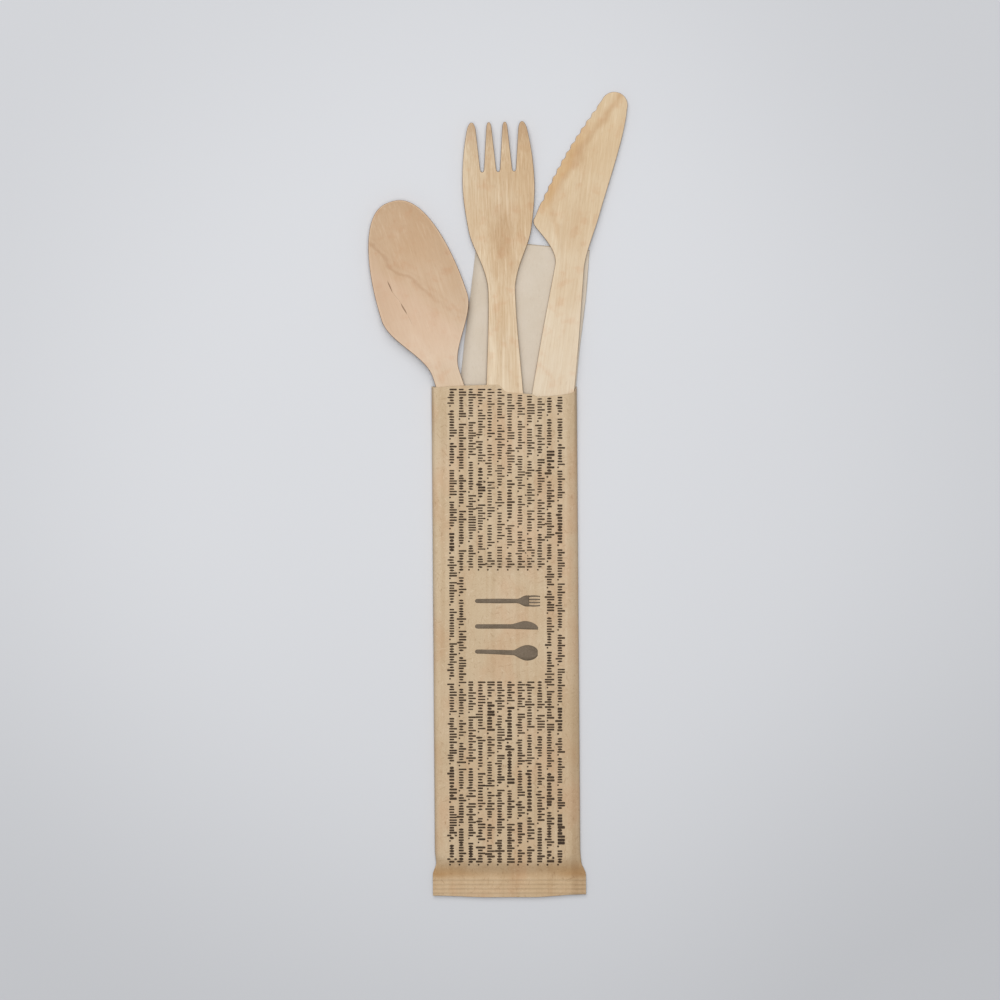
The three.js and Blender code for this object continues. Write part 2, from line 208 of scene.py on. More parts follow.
def closed_sheet(plan, faces, upper, lower):
    """A closed sheet between two heights over the same flat mesh, joined along its rim."""
    _, edges, _ = rim_of(faces, plan)
    below = edges + len(plan)
    sides = np.stack([edges[:, 1], edges[:, 0], below[:, 0], below[:, 1]], -1)
    points = np.concatenate([np.column_stack([plan, upper]), np.column_stack([plan, lower])])
    return points, np.concatenate([faces, sides, faces[:, ::-1] + len(plan)])


def inset(left, right, by):
    """Both sides of a closed outline moved inwards: left and right run from the lower end to the upper one."""
    ring = np.concatenate([right, left[::-1]])
    along = np.roll(ring, -1, 0) - np.roll(ring, 1, 0)
    outward = np.stack([along[:, 1], -along[:, 0]], -1)
    ring = ring - by * outward / np.linalg.norm(outward, axis=1, keepdims=True)
    return ring[len(right):][::-1], ring[: len(right)]


def between(left, right, columns):
    """A flat mesh between two sides with the same number of rows: straight across each row."""
    share = np.linspace(0, 1, columns)[None, :, None]
    plan = left[:, None] * (1 - share) + right[:, None] * share
    return plan.reshape(-1, 2), grid_faces(len(left), columns)


def turned(points, degrees):
    """Points turned about +Z."""
    c, s = math.cos(math.radians(degrees)), math.sin(math.radians(degrees))
    x, y = points[:, 0] * c - points[:, 1] * s, points[:, 0] * s + points[:, 1] * c
    return np.column_stack([x, y, points[:, 2]])


def laid(points, node):
    """Points of an item in its own frame, leaned and moved so that its box's middle and its lowest height
    are its CAD node's. Returns them and where the item's own origin came to lie, in millimetres."""
    low, high = box_of(node)
    points = turned(points, LEAN[node])
    move = (low + high) / 2 - (points.min(0) + points.max(0)) / 2
    move[2] = low[2] - points[:, 2].min()
    return points + move, move


# ---------------------------------------------------------------- finishes

def paint(red, green, blue):
    """A colour from its three screen values, 0 to 255."""
    linear = [v / 255 / 12.92 if v <= 10 else ((v / 255 + 0.055) / 1.055) ** 2.4 for v in (red, green, blue)]
    return (*linear, 1.0)


class Value:
    """A number that a node gives; + - * / and abs() on it add a math node each."""

    def __init__(self, finish, socket):
        self.finish, self.socket = finish, socket

    def __add__(self, other):
        return self.finish.math("ADD", self, other)

    def __sub__(self, other):
        return self.finish.math("SUBTRACT", self, other)

    def __mul__(self, other):
        return self.finish.math("MULTIPLY", self, other)

    def __truediv__(self, other):
        return self.finish.math("DIVIDE", self, other)

    def __abs__(self):
        return self.finish.math("ABSOLUTE", self)

    def range(self, low, high, to_low=0.0, to_high=1.0):
        """Carries low..high smoothly to to_low..to_high."""
        node = self.finish.node("MapRange")
        node.interpolation_type = "SMOOTHSTEP"
        for socket, given in zip(node.inputs, (self, low, high, to_low, to_high)):
            self.finish.put(socket, given)
        return Value(self.finish, node.outputs[0])


class Finish:
    """A material's nodes, with short names for the few kinds that the finishes are made of. colour is the
    base colour so far, and shades are given by their three screen values."""

    def __init__(self, name, roughness, specular):
        self.material = bpy.data.materials.new(name)
        self.material.use_nodes = True
        self.tree = self.material.node_tree
        self.shader = next(n for n in self.tree.nodes if n.type == "BSDF_PRINCIPLED")
        self.shader.inputs["Roughness"].default_value = roughness
        self.shader.inputs["Specular IOR Level"].default_value = specular

    def put(self, socket, value):
        """Links a socket to another, or sets it."""
        value = value.socket if isinstance(value, Value) else value
        if isinstance(value, bpy.types.NodeSocket):
            self.tree.links.new(value, socket)
        else:
            socket.default_value = value

    def node(self, kind, **inputs):
        """A new node, with the inputs of these names linked or set."""
        node = self.tree.nodes.new("ShaderNode" + kind)
        for name, value in inputs.items():
            self.put(node.inputs[name], value)
        return node

    def math(self, operation, a, b=0.0, clamp=False):
        node = self.node("Math")
        node.operation, node.use_clamp = operation, clamp
        self.put(node.inputs[0], a)
        self.put(node.inputs[1], b)
        return Value(self, node.outputs[0])

    def mix(self, share, a, b, blend):
        node = self.node("Mix")
        node.data_type, node.blend_type = "RGBA", blend
        for socket, value in ((0, share), (6, a), (7, b)):
            self.put(node.inputs[socket], value)
        return node.outputs[2]

    def start(self, share, a, b):
        """Starts the colour as a mix of two shades."""
        self.colour = self.mix(share, paint(*a), paint(*b), "MIX")

    def tint(self, share, shade, blend="MULTIPLY"):
        """Blends a shade into the colour so far, by a share."""
        self.colour = self.mix(share, self.colour, paint(*shade), blend)

    def lay(self, pattern, low, high, share, shade, blend="MULTIPLY"):
        """Tints where a pattern goes from low to high, there by the share."""
        self.tint(pattern.range(low, high, 0.0, share), shade, blend)

    def coordinates(self, lean=0.0, origin=(0, 0, 0)):
        """Object coordinates in an item's own frame, with its origin in millimetres."""
        place = self.node("TexCoord").outputs["Object"]
        if not lean:
            return place
        back = turned(np.array([origin], float) * MM, -lean)[0]
        turn = (0, 0, math.radians(-lean))
        return self.node("Mapping", Rotation=turn, Location=tuple(-back), Vector=place).outputs[0]

    def stretched(self, place, scale, turn=0.0):
        turn = (0, 0, math.radians(turn))
        return self.node("Mapping", Rotation=turn, Scale=scale, Vector=place).outputs[0]

    def noise(self, place, scale, detail=3.0, roughness=0.55, distortion=0.0):
        node = self.node("TexNoise", Vector=place, Scale=scale, Detail=detail, Roughness=roughness,
                         Distortion=distortion)
        return Value(self, node.outputs["Fac"])

    def fibres(self, place, squeeze, *noise):
        """Noise whose spots are 1 / squeeze times as long along Y as they are wide."""
        return self.noise(self.stretched(place, (1, squeeze, 1)), *noise)

    def axes(self, place):
        return [Value(self, socket) for socket in self.node("SeparateXYZ", Vector=place).outputs]

    def read(self, name):
        node = self.node("Attribute")
        node.attribute_name = name
        return Value(self, node.outputs["Fac"])

    def curve(self, value, low, high, knots, reach=20):
        """A smooth curve through the knots (x, y) in millimetres, x within low..high and y within the reach
        on either side of 0."""
        node = self.node("FloatCurve")
        line = node.mapping.curves[0]
        while len(line.points) < len(knots):
            line.points.new(0.5, 0.5)
        for point, (x, y) in zip(line.points, knots):
            point.location = ((x - low) / (high - low), (y + reach) / (2 * reach))
        node.mapping.update()
        self.put(node.inputs["Value"], self.math("DIVIDE", value - low * MM, (high - low) * MM, clamp=True))
        return Value(self, node.outputs[0]) * (2 * reach * MM) + -reach * MM

    def bump(self, height, distance, strength):
        """Height as relief, distance in metres at full height; the last one added is the shader's."""
        node = self.node("Bump", Distance=distance, Strength=strength, Height=height)
        previous = self.shader.inputs["Normal"].links
        if previous:
            self.put(node.inputs["Normal"], previous[0].from_socket)
        self.put(self.shader.inputs["Normal"], node.outputs[0])

    def done(self):
        self.put(self.shader.inputs["Base Color"], self.colour)
        return self.material


def birch(node, origin, pale, warm, cut, grain, figure):
    """Rotary-cut birch: pale wood that turns warm towards the head, with fine fibres, short pores, broad soft
    bands along the grain and rosy clouds; figure adds the item's own growth lines. The rounded edge carries a
    painted highlight, a pale line, and the cut wall outside it is darker, partly the wood's own cut tone and
    partly painted shade on the wall's side."""
    finish = Finish(node + "_birch", roughness=0.62, specular=0.3)
    own = finish.coordinates(LEAN[node], origin)
    u, v, _ = finish.axes(own)
    finish.start(v.range(0.055, 0.15), pale, warm)
    finish.lay(finish.fibres(own, 0.06, 150, 3, 0.6, 0.4), 0.36, 0.72, 0.34 * grain, (220, 192, 148))
    fine = finish.fibres(own, 0.03, 2000, 4, 0.75)
    finish.lay(fine, 0.36, 0.68, 0.42 * grain, (206, 174, 130))
    finish.lay(finish.fibres(own, 0.045, 1100, 3, 0.6), 0.52, 0.72, 0.4 * grain, (236, 220, 194), "MIX")
    pores = finish.fibres(own, 0.12, 2600, 1, 0.5).range(0.66, 0.76)
    finish.tint(pores * (0.2 * grain), (172, 134, 92))
    finish.lay(finish.noise(own, 210, 3, 0.55), 0.5, 0.72, 0.3, (242, 212, 192))
    finish.lay(finish.noise(own, 55, 2, 0.5), 0.35, 0.7, 0.18, (230, 202, 158))
    figure(finish, own, u, v)
    edge = finish.read("edge")
    # painted highlight: a pale line along the rounded edge, in place of the light it catches
    wear_and_highlight = edge.range(0.02, 0.3) * edge.range(0.6, 0.3)
    finish.tint(wear_and_highlight * 0.4, (240, 214, 184), "MIX")
    # darker cut wall: partly the wood's own cut tone, partly painted shade on the wall's side
    finish.lay(edge, 0.4, 0.9, 0.85, cut)
    finish.bump(fine * 0.7 + pores * -0.5, 0.00006, 0.8)
    finish.bump(finish.noise(own, 260, 2, 0.5), 0.00012, 0.6)
    return finish.done()


# ---------------------------------------------------------------- cutlery

def handle_half(v, half, neck_half, taper, neck):
    """Half-width of a handle: a round end, then a smooth taper to the neck."""
    return lerp(half, neck_half, smooth(taper, neck, v)) * quarter(1 - np.minimum(v / half, 1))


SPOON_LENGTH = 160


def spoon_half(v):
    """Half-width: the handle, an S-curve from the neck to the shoulder, then half of a blunt ellipse."""
    neck, shoulder, neck_half, bowl_half = 93, 119, 5.1, 16.7
    share = np.clip((v - shoulder) / (SPOON_LENGTH - shoulder), 0, 1)
    bowl = bowl_half * (1 - share**2) ** (1 / 2.42)
    widening = lerp(neck_half, bowl_half, smooth(neck, shoulder, v))
    handle = handle_half(v, 6.9, neck_half, 40, neck)
    return np.where(v <= neck, handle, np.where(v <= shoulder, widening, bowl))


def spoon_middle(u, v):
    """Height of the veneer's middle: the handle climbs to the rim's level, and the bowl is pressed down by
    the depth times (1 - distance from its middle squared) to the power of the fullness."""
    inside = np.maximum(0, 1 - ((v - 129) / 31) ** 2 - (u / 17.3) ** 2)
    return LEVEL_LOWER + 1.88 * smooth(62, 104, v) - 3.7 * inside**0.85


def fork_half(v):
    """Half-width: the handle, a quick and then a slow widening to the head, and in again to the tips."""
    neck, widest, neck_half, head_half = 98, 137.5, 5.05, 13.4
    widening = 0.62 * smooth(neck, 121, v) + 0.38 * smooth(106, widest, v)
    tips = lerp(head_half, 10.55, np.maximum(0, (v - widest) / 23.3) ** 2)
    head = np.where(v > widest, tips, lerp(neck_half, head_half, widening))
    return np.where(v <= neck, handle_half(v, 7.1, neck_half, 50, neck), head)


def fork_middle(u, v):
    """Height of the veneer's middle: level in the sleeve, down to the bottom of the head, up again along the
    tines by a power of the distance, with the head's sides a little over its middle."""
    tines = 3.4 * (np.maximum(0, v - 128) / 32.8) ** 1.7
    return LEVEL_UPPER - 3.4 * smooth(82, 150, v) + tines + 0.9 * smooth(108, 130, v) * (u / 13.4) ** 2


def knife_middle(u, v):
    """Height of the veneer's middle: a short climb, then a long slope down to the point."""
    return LEVEL_LOWER + 0.75 * smooth(36, 64, v) - 2.2 * smooth(75, 160, v)


def end_stations(start, end, count):
    """Places along an item, spaced as the cosine so that they crowd at both round ends, which are left out."""
    t = np.linspace(0, math.pi, count + 2)[1:-1]
    return start + (end - start) * (1 - np.cos(t)) / 2


def item(node, plan, faces, middle, wood, figure, thinned=lambda u, v: 0, radius=EDGE_ROUND):
    """A pressed item: a plate half a veneer over and under its middle height, less what is thinned off.
    wood holds birch()'s colours and the strength of its grain."""
    points, skin, edge = plate(
        plan,
        faces,
        lambda u, v: middle(u, v) + VENEER / 2 - thinned(u, v),
        lambda u, v: middle(u, v) - VENEER / 2,
        radius,
    )
    points, origin = laid(points, node)
    finish = birch(node, origin, *wood, figure)
    piece = new_piece(node + "_of_birch", points, skin, finish, node)
    attribute(piece, "edge", edge)


def make_spoon():
    """The spoon: its outline's two sides mirror each other, with straight rows between them."""
    v = end_stations(0, SPOON_LENGTH, 240)
    right = np.column_stack([spoon_half(v), v])
    plan, faces = between(*inset(right * [-1, 1], right, EDGE_ROUND), 41)

    def figure(finish, own, u, v):
        """A thin brown growth line across the bowl, pinker wood below it, and two dark mineral streaks."""
        wobble = (finish.noise(own, 180, 3) - 0.5) * 0.005
        line = finish.curve(v, 100, 160, [(112, 11), (123, 3.2), (130, -1.2), (136, -6.9), (142.5, -9.4),
                                          (152, -16)])
        off = u + wobble - line
        below = off.range(0.0004, -0.009) * v.range(0.088, 0.108)
        finish.tint(below * 0.3, (214, 184, 162), "MIX")
        soft = abs(off).range(0.0013, 0.0)
        finish.tint(soft * u.range(0.009, -0.001, 0.3, 1.0) * 0.24, (192, 150, 112))
        finish.tint(abs(off - 0.0026).range(0.0012, 0.0) * 0.06, (200, 160, 120))
        for low, high, a, b, width, dark in (
            (127.6, 132.6, -9.7, -10.1, 0.5, 0.8),
            (118.0, 123.2, -7.0, -7.9, 0.55, 0.75),
            (122.5, 128.6, -7.9, -9.6, 0.22, 0.3),
            (114.0, 118.6, -6.4, -6.8, 0.25, 0.2),
        ):
            path = v.range(low * MM, high * MM) * ((b - a) * MM) + a * MM
            away = abs(u - path)
            reach = (v - (low + high) / 2 * MM) / ((high - low) / 2 * MM)
            swell = finish.math("SUBTRACT", 1.0, reach * reach, clamp=True)
            ragged = finish.fibres(own, 0.2, 1400, 2)
            mark = (away / (swell * (width * MM) * ragged + 1e-6)).range(1.2, 0.5)
            finish.tint(mark * swell.range(0.0, 0.08) * dark, (104, 74, 48), "MIX")

    wood = ((219, 202, 181), (196, 167, 136), (162, 126, 98), 0.3)
    item("spoon", plan, faces, spoon_middle, wood, figure)


def make_fork():
    """The fork: one mesh for the handle and the head up to the roots of the slots, in seven bands that
    become four tines and three gaps, then one mesh for each tine, which share the root's vertices."""
    radius = EDGE_ROUND
    pitch, root, length = 5.95, 143.1, 160.8
    gap_root, gap_end = 0.68, 2.28  # half-widths of a gap at its root and past the tips
    v = end_stations(0, 2 * 141.8, 460)[:230]
    right = np.column_stack([fork_half(v), v])
    _, right = inset(right * [-1, 1], right, radius)
    # inset() also moved the last row, where the outline goes on, so that row is put back
    edge_u = np.append(right[:-1, 0], fork_half(root) - radius)
    edge_v = np.append(right[:-1, 1], root)

    def slot_half(v):
        """Half-width of a gap, a wedge that widens from its root."""
        return lerp(gap_root, gap_end, (v - root) / (length + 1 - root)) + radius

    def tine_sides(k, v):
        """Inner faces of tine k, its round tip closed as half of an ellipse."""
        outer = fork_half(v) - radius
        low = -outer if k == 0 else (k - 2) * pitch + slot_half(v)
        high = outer if k == 3 else (k - 1) * pitch - slot_half(v)
        tip = length - radius
        reach = 2.3 if k in (0, 3) else 1.7
        close = quarter(np.maximum(0, v - (tip - reach)) / reach)
        middle, half = (low + high) / 2, (high - low) / 2 * close
        return middle - half, middle + half

    cuts = [np.array(tine_sides(k, np.array([root])))[:, 0] for k in range(4)]
    stops = np.concatenate(cuts)
    share = spaced(stops, (6, 7, 6, 7, 6, 7, 6)) / (fork_half(root) - radius)
    columns = len(share)
    u = edge_u[:, None] * share
    rows = np.repeat(edge_v[:, None], columns, 1)
    dip, wide = np.zeros(columns), gap_root + radius
    for side in (-1, 0, 1):
        dip = np.maximum(dip, quarter((u[-1] - side * pitch) / wide) * wide)
    rows = rows - dip * smooth(root - 6, root, edge_v)[:, None] ** 2
    plan = [np.stack([u, rows], -1).reshape(-1, 2)]
    faces = [grid_faces(len(edge_u), columns)]
    count = len(plan[0])
    for k in range(4):
        up = root + (length - radius - root) * np.sin(np.linspace(0, math.pi / 2, 46))[:-1]
        low, high = tine_sides(k, up)
        tine, quads = between(np.column_stack([low, up]), np.column_stack([high, up]), 6)
        plan.append(tine)
        faces.append(quads + count)
        count += len(tine)
    plan, faces = np.concatenate(plan), np.concatenate(faces)
    _, keep, merged = np.unique(np.round(plan, 3), axis=0, return_index=True, return_inverse=True)
    plan, faces = plan[keep], merged.reshape(-1)[faces]

    def figure(finish, own, u, v):
        """A browner band up the middle of the head, a darker right side, and browner, darker tips."""
        wobble = (finish.noise(own, 90, 2) - 0.5) * 0.008
        off = abs(u - 0.001 + wobble)
        band = off.range(0.0055, 0.0005) * v.range(0.1, 0.122) * v.range(0.136, 0.122)
        finish.tint(band * 0.34, (206, 172, 124))
        finish.tint(u.range(0.003, 0.009, 0.0, 0.35) * v.range(0.105, 0.125), (232, 212, 182))
        finish.tint(v.range(0.15, 0.1606) * 0.36, (190, 148, 106))

    wood = ((217, 199, 172), (209, 188, 158), (170, 148, 118), 0.85)
    item("fork", plan, faces, fork_middle, wood, figure)


KNIFE_HALF = 8.1  # half the width of the handle's end
TIP, TIP_RADIUS = np.array([8.75, 160.6]), 4.9
TIP_TURN = 86  # degrees round the tip at which the right side ends
HEEL = np.array([-15.2, 115.0])
EDGE_START = TIP + TIP_RADIUS * np.array([math.cos(math.radians(165)), math.sin(math.radians(165))])
EDGE_RUN = HEEL - EDGE_START
EDGE_OUT = np.array([EDGE_RUN[1], -EDGE_RUN[0]]) / np.hypot(*EDGE_RUN)


def knife_sides():
    """The knife's two sides from the handle's end to the point, as dense points."""
    half, neck_half, neck = KNIFE_HALF, 5.3, 99
    turn = np.radians(np.linspace(-88, 0, 40))
    end = np.column_stack([half * np.cos(turn), half + half * np.sin(turn)])
    handle = bezier((half, half), (half + 0.4, 50), (neck_half + 1.6, 72), (neck_half, neck), 90)
    neck_to_spine = bezier((neck_half, neck), (neck_half, 106), (7.6, 113), (8.6, 120.5), 40)
    back = bezier((8.6, 120.5), (10, 130), (14.1, 150), (13.6, 159.5), 60)
    round_right = np.radians(np.linspace(-10, TIP_TURN, 40))
    point = TIP + TIP_RADIUS * np.column_stack([np.cos(round_right), np.sin(round_right)])
    right = np.concatenate([end, handle[1:], neck_to_spine[1:], back[1:], point[1:]])
    round_left = np.radians(np.linspace(94, 165, 30))
    point = TIP + TIP_RADIUS * np.column_stack([np.cos(round_left), np.sin(round_left)])
    share = np.linspace(0, 1, 420)
    in_teeth = np.clip((share - 0.05) / (1 - 0.05 - 0.12), 0, 1)
    out = 4 * 1.8 * share * (1 - share) - 0.5 * np.sin(math.pi * 12 * in_teeth) ** 2
    toothed = EDGE_START + share[:, None] * EDGE_RUN + out[:, None] * EDGE_OUT
    x, y = HEEL
    heel = bezier((x, y), (x - 0.35, y - 0.2), (x - 0.3, y - 1.2), (x + 0.1, y - 2.2), 14)
    under = bezier((x + 0.1, y - 2.2), (x + 2.4, y - 5.2), (-neck_half, 105), (-neck_half, neck), 60)
    left = np.concatenate([point, toothed[1:], heel[1:], under[1:], handle[::-1][1:] * [-1, 1],
                           end[::-1][1:] * [-1, 1]])[::-1]
    return left, right


def from_edge(u, v):
    """Distance from the straight line under the toothed edge, towards the back of the blade."""
    return -((u - EDGE_START[0]) * EDGE_OUT[0] + (v - EDGE_START[1]) * EDGE_OUT[1])


def make_knife():
    """The knife: rows across between its two sides, close together along the teeth."""
    left, right = knife_sides()
    top = TIP[1] + TIP_RADIUS * math.sin(math.radians(TIP_TURN))
    ends = KNIFE_HALF * (1 - np.cos(np.radians(np.linspace(3, 90, 26))))
    point = TIP[1] + TIP_RADIUS * np.sin(np.radians(np.linspace(0, TIP_TURN, 26)))
    rows = np.concatenate([ends[:-1], spaced((ends[-1], 108, 160.5), (112, 190)), point[1:]])
    rows[-1] = min(rows[-1], top)
    left = np.column_stack([np.interp(rows, left[:, 1], left[:, 0]), rows])
    right = np.column_stack([np.interp(rows, right[:, 1], right[:, 0]), rows])
    plan, faces = between(*inset(left, right, KNIFE_ROUND * 0.8), 27)

    def thinned(u, v):
        """The blade is pressed thinner towards its edge, over a band that begins past the neck."""
        return 0.7 * smooth(99, 117, v) * (1 - smooth(0, 8.5, from_edge(u, v)))

    def figure(finish, own, u, v):
        """Two growth lines that leave the point together and part half-way down the blade: one keeps to the
        edge, with yellower wood outside it, and the other runs straight to the neck."""
        at = u + (finish.noise(own, 160, 2) - 0.5) * 0.004
        near = finish.curve(v, 90, 165, [(100, -2), (106, -4.5), (112.5, -6.5), (118, -8.9), (122, -8.8),
                                         (129.6, -6.7), (136.8, -3), (143.8, -1), (152, 3.8), (160, 8)])
        far = finish.curve(v, 90, 165, [(96, -0.5), (121.7, 0.2), (129, 0.9), (138.8, -0.8), (143.8, -0.6),
                                        (152, 4.2), (160, 8.2)])
        blade = v.range(0.1, 0.112)
        yellow = (near - at).range(-0.0005, 0.002) * v.range(0.113, 0.125) * v.range(0.158, 0.14)
        finish.tint(yellow * 0.42, (234, 196, 124))
        for line, width, dark in ((near, 0.0022, 0.26), (far, 0.0028, 0.14)):
            mark = abs(at - line).range(width, 0.0) * blade
            broken = finish.fibres(own, 0.3, 240, 2).range(0.3, 0.6, 0.35, 1.0)
            finish.tint(mark * (broken * dark), (210, 168, 108))

    wood = ((219, 204, 181), (208, 186, 153), (174, 148, 116), 0.5)
    item("knife", plan, faces, knife_middle, wood, figure, thinned, KNIFE_ROUND)


# ---------------------------------------------------------------- paper sleeve

BOTTOM = box_of("paper_sleeve")[0][1]  # the sealed edge
SEAL_TOP, SHOULDER, MOUTH = BOTTOM + 10.4, BOTTOM + 18.5, BOTTOM + 190.4
SLEEVE_HALF = 27.0  # half its filled width
SIDE_LEVEL = 1.5  # height of the line where the front panel turns into the back one
BACK_SEAM = {"half": 5.0, "ramp": 4.0, "layers": 0.2}
FRONT_EDGE = [(-32, 39.5), (-24, 40), (-12, 40.7), (0, 41), (3.2, 38.3), (9, 37.8), (12.5, 37.4), (15, 36.6),
              (21, 36.9), (27, 37.8), (30.4, 38.9), (34, 39)]
CRIMP = {"ridges": 4, "pitch": 1.6, "height": 0.34, "top": BOTTOM + 8.0}


def closing(y):
    """How far the tube is closed down: 0 above the shoulder and 1 at the seal."""
    return 1 - smooth(SEAL_TOP, SHOULDER, y)


def sleeve_mid(y):
    """X of the tube's centre line, which leans a little and is shifted at the seal."""
    return lerp(3.75, 2.35, (y - BOTTOM) / (MOUTH - BOTTOM)) + 0.6 * closing(y)


def sleeve_width(y):
    """The tube's width; the flattened end has the same girth, so it is wider."""
    return lerp(2 * SLEEVE_HALF, 56.9, 1 - smooth(SEAL_TOP - 1.6, SEAL_TOP + 3.2, y))


def crimp(x, y):
    """Ridges pressed across the sealed band: a row of sine humps, uneven in height and a little bent."""
    at = (CRIMP["top"] + 0.12 * ripple(x, x, 9, 30, 4) - y) / CRIMP["pitch"]
    height = CRIMP["height"] * (0.72 + 0.28 * ripple(x, y * 2, 13, 17, 5))
    return np.where((at < 0) | (at > CRIMP["ridges"]), 0, height * np.sin(math.pi * at) ** 2)


FORK_END = (4.2, -22.1)  # where the fork's handle ends inside the sleeve


def over(x, y, base, origin, lean, half, height):
    """How far the paper stands over its base where it lies over a handle: the height above the base, level
    over the handle and falling off beside it and past its end."""
    t = math.tan(math.radians(lean))
    along = y - origin[1]
    off = np.abs(x - (origin[0] - along * t)) * math.cos(math.radians(lean))
    return np.maximum(0, height - base) * (1 - smooth(half, half + 9, off)) * smooth(-9, 3, along)


def front_raw(x, y):
    """Height of the front panel before its sides are rounded: a base level, raised over the three handles by
    the sixth-power mean of their heights, with soft unevenness."""
    base = 3.9 - 0.35 * smooth(-40, -100, y)
    spoon_at, knife_at = (9.25, -43.4), (13.75, -13.3)
    along_spoon = (y - spoon_at[1]) / math.cos(math.radians(LEAN["spoon"]))
    ridges = (
        over(x, y, base, FORK_END, LEAN["fork"], 7.6, 5.34),
        over(x, y, base, spoon_at, LEAN["spoon"], 8.0, 3.7 + 1.6 * smooth(50, 88, along_spoon)),
        over(x, y, base, knife_at, LEAN["knife"], 8.8, 3.7 + 1.45 * smooth(20, 52, y - knife_at[1])),
    )
    return base + sum(r**6 for r in ridges) ** (1 / 6)


def held_up(x, y):
    """Lowest height that the front panel may have: clear of the fork's handle, which lies on top, and less than
    the panel has anyway beside the handle and past its end."""
    off = np.abs(x - (FORK_END[0] - (y - FORK_END[1]) * math.tan(math.radians(LEAN["fork"]))))
    return lerp(2.5, 5.4 - 2.4 * smooth(6.9, 14.5, off), smooth(-32, -23, y))


def rounding(y):
    """How far the roundings of the left and the right side reach, as shares of half the width: narrow at the
    mouth, where the spoon and the knife fill the tube, and broader down the right side."""
    return lerp(0.075, 0.045, smooth(0, 35, y)), lerp(0.15, 0.05, smooth(-25, 32, y))


def side_rounding(x, y):
    """The part of a panel's height that is left near the sides: a quarter ellipse over each rounding. Also
    gives x as a share of half the width from the centre line."""
    rel = (x - sleeve_mid(y)) / (sleeve_width(y) / 2)
    radius = np.where(rel < 0, *rounding(y))
    deep = np.clip((np.abs(rel) - (1 - radius)) / radius, 0, 1)
    return quarter(deep), rel


def seal_lift(x, y):
    """The closed end stands a little over the table and waves."""
    return 0.95 + crimp(x, y) + 0.12 * ripple(x, y, 5, 38, 4)


def wrinkles(x, y):
    """Soft dents, pinches that fan out from the shoulder's corners, and faint creases across the panel."""
    rel = (x - sleeve_mid(y)) / SLEEVE_HALF
    soft = 0.11 * ripple(x, y * 0.55, 11, 26, 8)
    near = np.exp(-((y - (SHOULDER - 1)) / 9) ** 2)
    fan = 0.16 * near * np.sin(x * 1.05 + 1.1 * np.sin(y * 0.35)) * (0.4 + 0.6 * rel**2)
    calm = smooth(MOUTH + 1, MOUTH - 4, y) * 0.6 + 0.4
    return (soft + fan) * calm


def front_z(x, y):
    """Height of the front panel."""
    share, rel = side_rounding(x, y)
    raw = SIDE_LEVEL + (front_raw(x, y) + wrinkles(x, y) - SIDE_LEVEL) * share
    corner = rel**4
    late = smooth(SEAL_TOP - 1.7 + 1.2 * corner, SEAL_TOP + 4.4 + 3.0 * corner, y)
    raw = np.minimum(np.maximum(raw, held_up(x, y) * (np.abs(rel) < 0.8)), 5.55)
    return lerp(seal_lift(x, y) + 0.5, raw, late)


def back_z(x, y):
    """Height of the back panel: on the table, and raised over the flat seam that runs up its middle."""
    share, _ = side_rounding(x, y)
    off = np.abs(x - sleeve_mid(y))
    seam = BACK_SEAM["layers"] * (1 - smooth(BACK_SEAM["half"], BACK_SEAM["half"] + BACK_SEAM["ramp"], off))
    return lerp(seal_lift(x, y), SIDE_LEVEL + (seam - SIDE_LEVEL) * share, 1 - closing(y))


def section(y, columns, steps):
    """Places across a panel from -1 to 1 at each Y, which crowd in both roundings as the cosine does."""
    left, right = (side[:, None] for side in rounding(y))
    turn = np.linspace(0, math.pi / 2, steps + 1)
    start = -1 + left * (1 - np.cos(turn))
    end = 1 - right * (1 - np.cos(turn[::-1]))
    middle = lerp(start[:, -1:], end[:, :1], np.linspace(0, 1, columns))
    return np.concatenate([start[:, :-1], middle, end[:, 1:]], 1)


PANEL_COLUMNS, SIDE_STEPS = 78, 8
PANEL = PANEL_COLUMNS + 2 * SIDE_STEPS


def tube(rows, inward):
    """Points of the tube's wall, one ring of the front panel from left to right and then the back panel from
    right to left for each row, which bend near both ends to follow the panels' edges. inward moves the wall
    into the tube."""
    across = section(rows, PANEL_COLUMNS, SIDE_STEPS)
    ring = np.concatenate([across, across[:, -2:0:-1]], 1)
    is_front = np.arange(ring.shape[1]) < PANEL
    y = np.repeat(rows[:, None], ring.shape[1], 1)
    x = sleeve_mid(y) + ring * (sleeve_width(y) / 2 - inward)
    front_end = lerp(through(FRONT_EDGE, x), MOUTH, smooth(0.96, 1.0, np.abs(ring)))
    end = np.where(is_front, front_end, MOUTH)
    y = y + (end - MOUTH) * smooth(MOUTH - 40, MOUTH, y)
    bow = 0.5 + 0.6 * smooth(-0.3, -1.0, ring) + 1.1 * smooth(0.25, 1.0, ring)
    y = y + bow * smooth(SEAL_TOP, BOTTOM, y) + 0.05 * ripple(x, x, 77, 3, 5) * (y < BOTTOM + 1)
    x_out = sleeve_mid(y) + ring * (sleeve_width(y) / 2)
    wall = inward * side_rounding(x_out, y)[0]
    z = np.where(is_front, front_z(x_out, y) - wall, back_z(x_out, y) + wall)
    return np.stack([x, y, z], -1)


def flat_cap(ring, across, start, flip):
    """Faces that close a ring of the tube flat: each step of the front panel against the back panel's."""
    front = start + np.arange(across)
    back = start + np.concatenate([[0], np.arange(ring - 1, across - 1, -1), [across - 1]])[:across]
    quads = np.stack([front[:-1], front[1:], back[1:], back[:-1]], -1)
    quads = quads[:, ::-1] if flip else quads
    return [[v for i, v in enumerate(q) if v not in q[:i]] for q in quads.tolist()]


